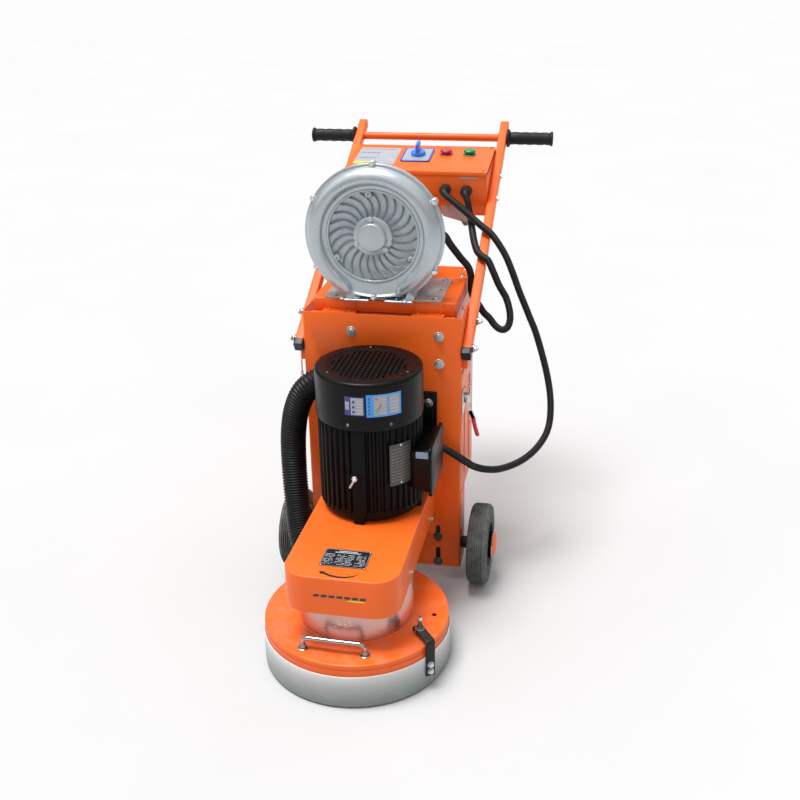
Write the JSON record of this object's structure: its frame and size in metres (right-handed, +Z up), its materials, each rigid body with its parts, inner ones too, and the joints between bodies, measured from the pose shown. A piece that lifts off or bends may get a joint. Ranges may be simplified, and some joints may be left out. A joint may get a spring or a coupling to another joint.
{
  "type": "walk-behind concrete floor grinder",
  "caption": "Walk-behind floor grinder: skirted grinding disc under a belt drive, upright finned motor, dust box with side-channel blower on top, wheels and a sloping push handle with controls.",
  "frame": {"origin": "centre of the bounding box's bottom face, on the floor between the wheels and the grinding disc", "axes": "+Z up, +Y from the grinding disc towards the push handle, +X towards the side with the motor's terminal box"},
  "size_m": [0.7223, 1.2488, 1.0313],
  "materials": {
    "orange_paint": "gloss powder coat",
    "black_paint": "satin",
    "motor_iron": "satin black paint",
    "stainless": "polished",
    "steel": "machined",
    "zinc": "bright",
    "cast_aluminium": "sand cast",
    "rubber_black": "matt",
    "tyre_rubber": "ribbed",
    "plastic_black": "matt",
    "skirt_plastic": "translucent",
    "filter_paper": "pleated",
    "diamond_matrix": "sintered",
    "windings": "lacquered",
    "blue_plastic": "gloss",
    "red_plastic": "gloss",
    "green_plastic": "gloss",
    "grey_plastic": "satin"
  },
  "bodies": {
    "chassis": {"front_panel": "orange_paint", "filter_housing": "orange_paint", "filter_cartridge": "filter_paper", "lid": "orange_paint", "base_plate": "orange_paint", "belt_cover": "orange_paint", "spindle_housing": "stainless", "disc_cover": "orange_paint", "clip_right": "black_paint", "clip_left": "black_paint", "grab_handle": "zinc", "bearing_upper": "steel", "bearing_lower": "steel", "drive_belt": "rubber_black", "motor_frame": "motor_iron", "motor_cowl": "black_paint", "stator": "windings", "terminal_box": "plastic_black", "terminal_lid": "plastic_black", "motor_foot": "motor_iron", "leg_right": "orange_paint", "leg_left": "orange_paint", "cross_bar": "orange_paint", "grip_right": "rubber_black", "grip_left": "rubber_black", "control_box": "orange_paint", "control_panel": "orange_paint", "switch_plate": "grey_plastic", "blower_front": "cast_aluminium", "blower_rear": "cast_aluminium", "blower_motor": "cast_aluminium", "blower_plate": "steel", "blower_intake": "cast_aluminium", "suction_hose": "rubber_black", "motor_cable": "rubber_black", "blower_cable": "rubber_black"},
    "skirt": {"skirt": "skirt_plastic"},
    "grinding_head": {"spindle": "steel", "spindle_pulley": "steel", "grinding_plate": "steel", "shoe_1": "diamond_matrix", "shoe_2": "diamond_matrix", "shoe_3": "diamond_matrix"},
    "drive_rotor": {"motor_rotor": "steel", "motor_pulley": "steel"},
    "blower_rotor": {"impeller": "cast_aluminium"},
    "carriage": {"wheel_carriage": "black_paint", "axle": "black_paint"},
    "wheel_left": {"tyre_left": "tyre_rubber", "rim_left": "orange_paint"},
    "wheel_right": {"tyre_right": "tyre_rubber", "rim_right": "orange_paint"},
    "bin": {"dust_bin": "orange_paint"},
    "lever_right": {"latch_lever_right": "red_plastic"},
    "lever_left": {"latch_lever_left": "red_plastic"},
    "hook_right": {"latch_hook_right": "zinc"},
    "hook_left": {"latch_hook_left": "zinc"},
    "knob": {"switch_knob": "blue_plastic"},
    "stop": {"stop_button": "red_plastic"},
    "start": {"start_button": "green_plastic"}
  },
  "joints": [
    {"name": "skirt_float", "type": "slide", "parent": "chassis", "child": "skirt", "axis": [0, 0, 1], "range_m": [0, 0.012]},
    {"name": "head_spin", "type": "hinge", "parent": "chassis", "child": "grinding_head", "pos_m": [-0.02915, -0.41588, 0.05], "axis": [0, 0, 1], "continuous": true},
    {"name": "motor_spin", "type": "hinge", "parent": "chassis", "child": "drive_rotor", "pos_m": [-0.02915, -0.23488, 0.3], "axis": [0, 0, 1], "continuous": true},
    {"name": "blower_spin", "type": "hinge", "parent": "chassis", "child": "blower_rotor", "pos_m": [-0.04715, -0.06588, 0.8673], "axis": [0, 1, 0], "continuous": true},
    {"name": "carriage_height", "type": "slide", "parent": "chassis", "child": "carriage", "axis": [0, 0, 1], "range_m": [0, 0.024]},
    {"name": "wheel_left_spin", "type": "hinge", "parent": "carriage", "child": "wheel_left", "pos_m": [-0.26315, -0.08388, 0.1], "axis": [1, 0, 0], "continuous": true},
    {"name": "wheel_right_spin", "type": "hinge", "parent": "carriage", "child": "wheel_right", "pos_m": [0.20485, -0.08388, 0.1], "axis": [1, 0, 0], "continuous": true},
    {"name": "bin_slide", "type": "slide", "parent": "chassis", "child": "bin", "axis": [0, 1, 0], "range_m": [0, 0.2]},
    {"name": "lever_right_turn", "type": "hinge", "parent": "bin", "child": "lever_right", "pos_m": [0.16935, -0.08188, 0.49], "axis": [0, -1, 0], "range_deg": [0, 90]},
    {"name": "hook_right_turn", "type": "hinge", "parent": "lever_right", "child": "hook_right", "pos_m": [0.17235, -0.07288, 0.47], "axis": [0, -1, 0], "range_deg": [-90, 0]},
    {"name": "lever_left_turn", "type": "hinge", "parent": "bin", "child": "lever_left", "pos_m": [-0.22765, -0.08188, 0.49], "axis": [0, 1, 0], "range_deg": [0, 90]},
    {"name": "hook_left_turn", "type": "hinge", "parent": "lever_left", "child": "hook_left", "pos_m": [-0.23065, -0.07288, 0.47], "axis": [0, 1, 0], "range_deg": [-90, 0]},
    {"name": "switch_turn", "type": "hinge", "parent": "chassis", "child": "knob", "pos_m": [-0.03815, 0.43312, 0.94749], "axis": [0, -0.1584, 0.9874], "range_deg": [-60, 60]},
    {"name": "stop_press", "type": "slide", "parent": "chassis", "child": "stop", "axis": [0, 0.1584, -0.9874], "range_m": [0, 0.0035], "stiffness_N_per_m": 800, "springref_m": -0.002},
    {"name": "start_press", "type": "slide", "parent": "chassis", "child": "start", "axis": [0, 0.1584, -0.9874], "range_m": [0, 0.0035], "stiffness_N_per_m": 800, "springref_m": -0.002}
  ],
  "couplings": [
    {"joint": "motor_spin", "follows": "head_spin", "ratio": 1.5},
    {"joint": "hook_right_turn", "follows": "lever_right_turn", "ratio": -1},
    {"joint": "hook_left_turn", "follows": "lever_left_turn", "ratio": -1}
  ]
}
